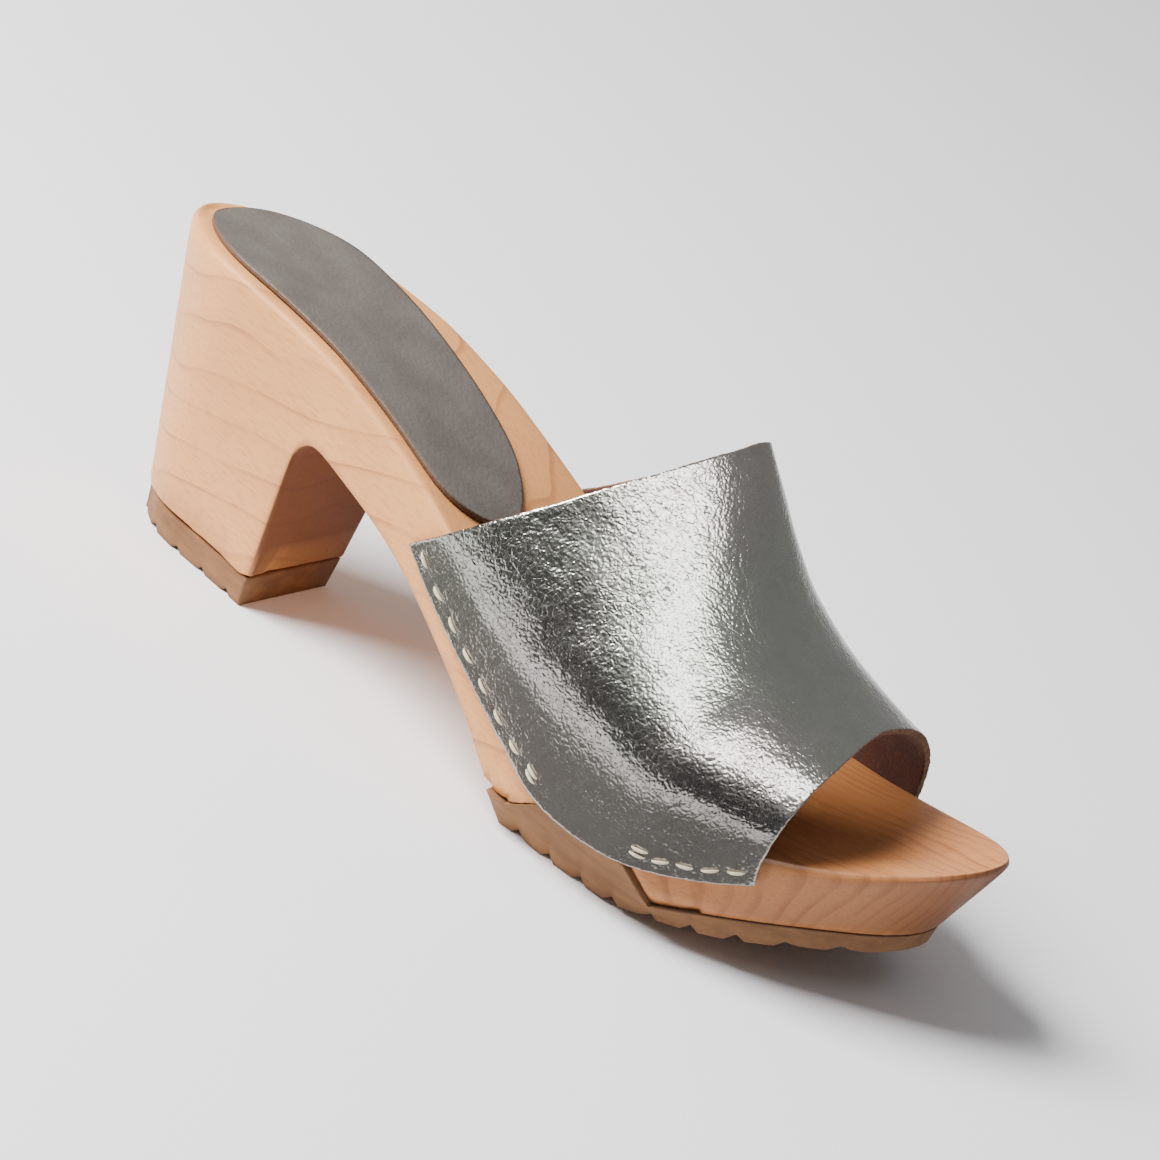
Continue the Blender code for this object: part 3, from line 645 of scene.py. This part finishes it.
@dataclass
class WoodenSole:
    """The carved sole with its heel, and the rubber under both ends."""

    nodes: dict[str, bpy.types.Object]
    sharp: float = math.radians(38)
    firm: float = 0.82
    waist_at: float = -0.04
    # Forward lean of the normal over which the wood is painted dark: painted shade, partly end grain.
    heel_painted_shade_lean: tuple[float, float] = (0.55, 0.92)
    toe_painted_shade_lean: tuple[float, float] = (0.45, 1.05)
    rubber_sharp: float = math.radians(30)
    pieces: list[bpy.types.Object] = field(default_factory=list)

    def carve(self) -> None:
        """Makes the smooth wooden piece."""
        body = worked_copy(self.nodes["wooden_sole"], "sole_wood")
        crease(body, self.sharp, self.firm)
        subdivide(body, 2)
        # Marks the forward faces for the wood's painted shade.
        self.mark_forward_painted_shade(body)
        body.data.materials.append(WoodFinish().make())
        ridden(body, "wood", "wooden_sole")
        self.pieces.append(body)

    def mark_forward_painted_shade(self, body: bpy.types.Object) -> None:
        """Writes how squarely each face points forward, along +X, where the wood is painted dark. This is
        partly the darker end grain of faces cut across the grain and mostly painted shade, as only forward
        faces get it and the heel's back does not.

        Args:
            body: The wooden piece.
        """
        data = body.data
        layer = data.attributes.new("forward_painted_shade", "FLOAT", "POINT")
        for vertex in data.vertices:
            low, high = self.heel_painted_shade_lean if vertex.co.x < self.waist_at else self.toe_painted_shade_lean
            layer.data[vertex.index].value = min(1.0, max(0.0, (vertex.normal.x - low) / (high - low)))

    def rubbers(self) -> None:
        """Makes the ribbed rubber pieces."""
        for node, name, slot in (("forefoot_outsole", "tread_forefoot", "rubber"),
                                 ("heel_top_piece", "tread_heel", "rubber_heel")):
            body = worked_copy(self.nodes[node], name)
            crease(body, self.rubber_sharp, 1.0)
            subdivide(body, 2)
            body.data.materials.append(RubberFinish(name=f"tan_rubber_{slot}").make())
            ridden(body, slot, node)
            self.pieces.append(body)

    def build(self) -> list[bpy.types.Object]:
        """Builds all of it.

        Returns:
            The pieces.
        """
        self.carve()
        self.rubbers()
        return self.pieces


@dataclass
class HeelSock:
    """Thin leather sock on seat and waist."""

    nodes: dict[str, bpy.types.Object]
    edge_width: float = 0.0011
    wall_lean: float = 0.5

    def build(self) -> list[bpy.types.Object]:
        """Builds the sock.

        Returns:
            The one piece.
        """
        body = worked_copy(self.nodes["insole"], "heel_sock")
        crease(body, math.radians(35), 0.6)
        subdivide(body, 2)
        self.mark_edge(body)
        body.data.materials.append(SockFinish().make())
        ridden(body, "sock_leather", "insole")
        return [body]

    def mark_edge(self, body: bpy.types.Object) -> None:
        """Writes how near each point is to the cut edge.

        Args:
            body: The sock.
        """
        data = body.data
        walls = [face for face in data.polygons if abs(face.normal.z) < self.wall_lean]
        rim = [Vector(data.vertices[i].co) for face in walls for i in face.vertices]
        cloud = np.array([(p.x, p.y) for p in rim])
        layer = data.attributes.new("edge_wear", "FLOAT", "POINT")
        for vertex in data.vertices:
            gap = float(np.min(np.hypot(cloud[:, 0] - vertex.co.x, cloud[:, 1] - vertex.co.y)))
            layer.data[vertex.index].value = 1 - min(1.0, gap / self.edge_width)


@dataclass
class LeatherBand:
    """Wide band over the forefoot with foil outside, flesh inside and raw edges."""

    nodes: dict[str, bpy.types.Object]
    sharp: float = math.radians(50)
    cut_share: float = 0.15
    swell: float = 0.00028
    swell_size: float = 0.013
    rough_cut: float = 0.00016
    rough_size: float = 0.0013
    stitch_up: float = 0.0034
    stitch_pitch_front: float = 0.0054
    stitch_pitch_rear: float = 0.0069
    front_row: tuple[float, float] = (0.0600, 0.0800)
    rear_row: tuple[float, float] = (-0.0190, 0.0290)
    twin_gap: float = 0.0014
    middle_height: float = 0.026
    middle_bend: float = 0.035
    middle_slope: float = 0.40
    swell_from: float = 0.030
    swell_over: float = 0.015
    stitch_size: Place = (0.0040, 0.00062, 0.00060)
    stitch_reach: float = 0.0015
    stitch_lift: float = 0.00034
    stitch_dip: float = 0.00046
    stitch_turn: float = math.radians(6)
    dimple: float = 0.00022
    dimple_reach: float = 0.0014

    def middle(self, x: float) -> Vector:
        """A point well inside the band at a place along the shoe.

        Args:
            x: Place along the shoe.

        Returns:
            The point.
        """
        return Vector((x, 0.0, self.middle_height + max(0.0, self.middle_bend - x) * self.middle_slope))

    def outward(self, point: Vector) -> Vector:
        """Direction away from the middle of the band, across the shoe.

        Args:
            point: A place on the band.

        Returns:
            A unit vector.
        """
        away = point - self.middle(point.x)
        away.x = 0.0
        return away.normalized()

    def patches(self, mesh: bmesh.types.BMesh) -> list[list[bmesh.types.BMFace]]:
        """Groups of faces that no sharp edge divides.

        Args:
            mesh: The band's mesh.

        Returns:
            The groups.
        """
        groups, seen = [], set()
        for first in mesh.faces:
            if first in seen:
                continue
            seen.add(first)
            group, waiting = [], [first]
            while waiting:
                face = waiting.pop()
                group.append(face)
                for edge in face.edges:
                    if edge.calc_face_angle(0.0) > self.sharp:
                        continue
                    for beside in edge.link_faces:
                        if beside not in seen:
                            seen.add(beside)
                            waiting.append(beside)
            groups.append(group)
        return groups

    def sort_faces(self, body: bpy.types.Object) -> None:
        """Gives each face of the band its finish: outside, inside or cut edge.

        Args:
            body: The band.
        """
        mesh = bmesh.new()
        mesh.from_mesh(body.data)
        whole = sum(face.calc_area() for face in mesh.faces)
        for group in self.patches(mesh):
            area = sum(face.calc_area() for face in group)
            lean = sum(face.normal.dot(self.outward(face.calc_center_median())) * face.calc_area()
                       for face in group)
            finish = BandFace.FOIL if lean > 0 else BandFace.FLESH
            if area < whole * self.cut_share:
                finish = BandFace.CUT
            for face in group:
                face.material_index = finish.value
        mesh.to_mesh(body.data)
        mesh.free()

    def surface(self) -> BVHTree:
        """Search tree of the CAD band.

        Returns:
            The tree.
        """
        data = self.nodes["upper"].data
        return BVHTree.FromPolygons([v.co for v in data.vertices], [tuple(p.vertices) for p in data.polygons])

    def hem(self, tree: BVHTree, x: float, side: Side) -> float:
        """Height of the band's lower edge at a place along the shoe.

        Args:
            tree: Search tree of the band.
            x: Place along the shoe.
            side: Which side.

        Returns:
            The height.
        """
        start = Vector((x, side.value * 0.2, 0.0))
        toward = Vector((0, -side.value, 0))
        for step in range(800):
            start.z = step * 0.0001
            if tree.ray_cast(start, toward, 0.185)[0] is not None:
                return start.z
        return 0.0

    def stitch_frames(self) -> list[Matrix]:
        """Places of the stitches: X along the hem, Z out of the leather.

        Returns:
            One matrix for each stitch.
        """
        tree = self.surface()
        frames = []
        for side in Side:
            rows = ((self.front_row, self.stitch_pitch_front, 0), (self.rear_row, self.stitch_pitch_rear, -1))
            for (low, high), pitch, twin in rows:
                count = round((high - low) / pitch) + 1
                places = [low + (high - low) * k / (count - 1) for k in range(count)]
                for k, x in enumerate(places):
                    ups = (0.0, self.twin_gap) if k == (0 if twin == 0 else count - 1) else (0.0,)
                    for up in ups:
                        frames.append(self.stitch_frame(tree, x, side, up, k))
        return frames

    def stitch_frame(self, tree: BVHTree, x: float, side: Side, up: float, count: int) -> Matrix:
        """Place of one stitch.

        Args:
            tree: Search tree of the band.
            x: Place along the shoe.
            side: Which side.
            up: Extra height over the row.
            count: Number in its row, for its small irregularity.

        Returns:
            Its matrix.
        """
        points = []
        for step in (-self.stitch_reach, self.stitch_reach):
            z = self.hem(tree, x + step, side) + self.stitch_up + up
            hit = tree.ray_cast(Vector((x + step, side.value * 0.2, z)), Vector((0, -side.value, 0)))
            points.append((hit[0], hit[1]))
        along = (points[1][0] - points[0][0]).normalized()
        out = (points[0][1] + points[1][1]).normalized()
        across = out.cross(along).normalized()
        turn = self.stitch_turn * math.sin(count * 2.7 + side.value)
        along = (along * math.cos(turn) + across * math.sin(turn)).normalized()
        across = out.cross(along).normalized()
        place = (points[0][0] + points[1][0]) / 2
        frame = Matrix((along, across, out)).transposed().to_4x4()
        frame.translation = place
        return frame

    def work_leather(self, body: bpy.types.Object, frames: list[Matrix]) -> None:
        """Moves the fine mesh a little: soft lumps, raw edges and dimples at the stitch ends.

        Args:
            body: The band.
            frames: Places of the stitches.
        """
        data = body.data
        cut = set()
        for face in data.polygons:
            if face.material_index == BandFace.CUT.value:
                cut.update(face.vertices)
        holes = [frame @ Vector((end, 0, 0)) for frame in frames
                 for end in (-self.stitch_reach, self.stitch_reach)]
        spots = np.array([tuple(h) for h in holes])
        normals = [v.normal.copy() for v in data.vertices]
        for vertex in data.vertices:
            point = vertex.co.copy()
            out = self.outward(point)
            high = min(1.0, max(0.0, (point.z - self.swell_from) / self.swell_over))
            lump = noise.noise(point / self.swell_size) * self.swell * (0.25 + 0.75 * high)
            move = out * lump
            near = float(np.min(np.linalg.norm(spots - np.array(point), axis=1)))
            if near < self.dimple_reach * 2:
                move -= out * self.dimple * math.exp(-((near / self.dimple_reach) ** 2) * 2)
            if vertex.index in cut:
                fine = noise.noise(point / (self.rough_size * 0.4))
                ragged = noise.noise(point / self.rough_size) + 0.5 * fine
                move += normals[vertex.index] * ragged * self.rough_cut
            vertex.co = point + move

    def stitch(self, frames: list[Matrix]) -> bpy.types.Object:
        """Models one stitch and copies it to every place.

        Args:
            frames: Places of the stitches.

        Returns:
            All stitches as one piece.
        """
        bpy.ops.object.select_all(action="DESELECT")
        bpy.ops.mesh.primitive_cube_add(size=1.0, location=(0, 0, 0))
        first = bpy.context.active_object
        first.name = "stitch"
        edit_all(first)
        bpy.ops.transform.resize(value=self.stitch_size)
        bpy.ops.mesh.subdivide(number_cuts=4)
        close_edit()
        mesh = bmesh.new()
        mesh.from_mesh(first.data)
        for vertex in mesh.verts:
            share = abs(vertex.co.x) / (self.stitch_size[0] / 2)
            round_end = math.sqrt(max(0.12, 1 - share ** 4))
            vertex.co.y *= round_end
            vertex.co.z = vertex.co.z * round_end + self.stitch_lift - self.stitch_dip * share ** 4
        mesh.to_mesh(first.data)
        mesh.free()
        subdivide(first, 1)
        copies = []
        for k, frame in enumerate(frames):
            copy = bpy.data.objects.new(f"stitch_{k}", first.data.copy())
            copy.data.transform(frame)
            bpy.context.scene.collection.objects.link(copy)
            copies.append(copy)
        bpy.data.objects.remove(first, do_unlink=True)
        bpy.ops.object.select_all(action="DESELECT")
        for copy in copies:
            copy.select_set(True)
        bpy.context.view_layer.objects.active = copies[0]
        bpy.ops.object.join()
        joined = copies[0]
        joined.name = "band_stitches"
        joined.data.name = "band_stitches"
        for face in joined.data.polygons:
            face.use_smooth = True
        joined.data.materials.clear()
        joined.data.materials.append(ThreadFinish().make())
        return joined

    def build(self) -> list[bpy.types.Object]:
        """Builds the band and its stitches.

        Returns:
            Both pieces.
        """
        body = worked_copy(self.nodes["upper"], "band_leather")
        body.data.materials.append(FoilFinish().make())
        inside = FleshFinish("flesh_inside", (0.10, 0.028, 0.012), (0.045, 0.012, 0.005))
        cut = FleshFinish("cut_edge", (0.24, 0.135, 0.075), (0.09, 0.042, 0.022), sheen=0.0)
        body.data.materials.append(inside.make())
        body.data.materials.append(cut.make())
        self.sort_faces(body)
        crease(body, self.sharp, 0.85)
        subdivide(body, 3)
        frames = self.stitch_frames()
        self.work_leather(body, frames)
        ridden(body, "band_leather", "upper")
        thread = self.stitch(frames)
        ridden(thread, "band_leather")
        return [body, thread]


@dataclass(frozen=True)
class Lamp:
    """A soft box that faces the shoe."""

    name: str
    at: Place
    size: tuple[float, float]
    power: float
    gloss_only: bool = False


@dataclass(frozen=True)
class Card:
    """A dark card that the camera never sees. Only gloss sees it, or only diffuse rays where it's a flag."""

    name: str
    at: Place
    size: tuple[float, float]
    grey: float
    flat: bool = False
    flag: bool = False


LAMPS = (
    Lamp("soft_top", (-0.80, -0.55, 1.05), (0.7, 0.7), 64.0),
    Lamp("strip_front", (0.42, -0.60, 1.30), (1.4, 0.42), 22.0, gloss_only=True),
)
CARDS = (
    Card("room_dark", (0.15, -1.7, 0.45), (3.6, 1.3), 0.004),
    Card("floor_far", (0.15, -1.05, 0.0006), (3.4, 1.3), 0.01, flat=True),
    # The two grey sheets on the floor along the hems, seen only by gloss rays, are painted shade: they stand
    # in for the floor's shade beside the shoe, which the foil's lower edge reflects.
    Card("floor_near_painted_shade", (0.02, -0.090, 0.0006), (0.34, 0.075), 0.12, flat=True),
    Card("floor_inner_painted_shade", (0.02, 0.100, 0.0006), (0.34, 0.090), 0.12, flat=True),
    Card("room_front", (1.10, -1.2, 0.30), (1.2, 1.0), 0.02),
    Card("room_left", (-1.75, -0.35, 0.72), (1.5, 1.1), 0.01),
    Card("flag_front", (0.62, 0.0, 0.42), (1.3, 0.84), 0.01, flag=True),
)


@dataclass
class Studio:
    """Floor, soft lights and the camera at the photographed angle."""

    camera_at: Place = (0.41548, -1.13431, 0.56110)
    right: Place = (0.7725, 0.5214, 0.3625)
    forward: Place = (-0.3975, 0.8422, -0.3643)
    up: Place = (-0.4952, 0.1373, 0.8578)
    focal_pixels: float = 3549.5
    aim_right: float = 238.0
    aim_down: float = 222.0
    closer: float = 1.62
    frame_pixels: float = 1160.0
    sensor: float = 36.0
    target: Place = (0.0, 0.0, 0.04)
    floor_size: float = 9.0
    sky: Colour = (0.94, 0.95, 0.97)
    sky_strength: float = 0.42

    def camera(self) -> None:
        """Places the camera where the photographed one stood, turned to the one shoe."""
        right, forward, up = Vector(self.right), Vector(self.forward), Vector(self.up)
        aim = (forward + right * self.aim_right / self.focal_pixels - up * self.aim_down / self.focal_pixels)
        aim.normalize()
        side = (right - aim * right.dot(aim)).normalized()
        top = side.cross(aim).normalized()
        lens = bpy.data.cameras.new("camera")
        lens.sensor_width = self.sensor
        lens.lens = self.focal_pixels * self.closer / self.frame_pixels * self.sensor
        lens.clip_start, lens.clip_end = 0.05, 20.0
        body = bpy.data.objects.new("camera", lens)
        bpy.context.scene.collection.objects.link(body)
        turn = Matrix((side, top, -aim)).transposed().to_4x4()
        body.matrix_world = Matrix.Translation(Vector(self.camera_at)) @ turn
        bpy.context.scene.camera = body

    def lamp(self, lamp: Lamp) -> None:
        """Adds one soft box that faces the shoe.

        Args:
            lamp: Its sizes.
        """
        data = bpy.data.lights.new(lamp.name, "AREA")
        data.shape = "RECTANGLE"
        data.size, data.size_y = lamp.size
        data.energy = lamp.power
        body = bpy.data.objects.new(lamp.name, data)
        bpy.context.scene.collection.objects.link(body)
        body.location = lamp.at
        toward = Vector(self.target) - Vector(lamp.at)
        body.rotation_euler = toward.to_track_quat("-Z", "Y").to_euler()
        body.visible_diffuse = not lamp.gloss_only

    def card(self, card: Card) -> None:
        """Adds one dark card.

        Args:
            card: Its sizes.
        """
        bpy.ops.object.select_all(action="DESELECT")
        bpy.ops.mesh.primitive_plane_add(size=1.0)
        body = bpy.context.active_object
        body.name = card.name
        grey = (card.grey, card.grey, card.grey)
        material = NodeSheet(card.name).done(Base_Color=grey, Roughness=1.0, Specular_IOR_Level=0.0)
        body.data.materials.append(material)
        toward = Vector(self.target) - Vector(card.at)
        turn = Matrix.Identity(4) if card.flat else toward.to_track_quat("-Z", "Y").to_matrix().to_4x4()
        scale = Matrix.Diagonal((card.size[0], card.size[1], 1.0, 1.0))
        body.data.transform(Matrix.Translation(Vector(card.at)) @ turn @ scale)
        body.visible_camera = False
        body.visible_shadow = False
        body.visible_diffuse = card.flag
        body.visible_glossy = not card.flag

    def build(self) -> None:
        """Builds the floor, the lights and the camera."""
        bpy.ops.object.select_all(action="DESELECT")
        bpy.ops.mesh.primitive_plane_add(size=self.floor_size)
        floor = bpy.context.active_object
        floor.name = "studio_floor"
        floor.data.materials.append(FloorFinish().make())
        world = bpy.data.worlds.new("studio")
        world.use_nodes = True
        background = world.node_tree.nodes["Background"]
        background.inputs[0].default_value = (*self.sky, 1.0)
        background.inputs[1].default_value = self.sky_strength
        bpy.context.scene.world = world
        for lamp in LAMPS:
            self.lamp(lamp)
        for card in CARDS:
            self.card(card)
        self.camera()


def main() -> None:
    """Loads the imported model, dresses it and sets up the studio."""
    logging.basicConfig(level=logging.INFO)
    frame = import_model()
    nodes = frame["nodes"]
    for assembly in (WoodenSole(nodes), HeelSock(nodes), LeatherBand(nodes)):
        for piece in assembly.build():
            LOG.info("%s has %d faces", piece.name, len(piece.data.polygons))
    Studio().build()


if __name__ == "__main__":
    main()
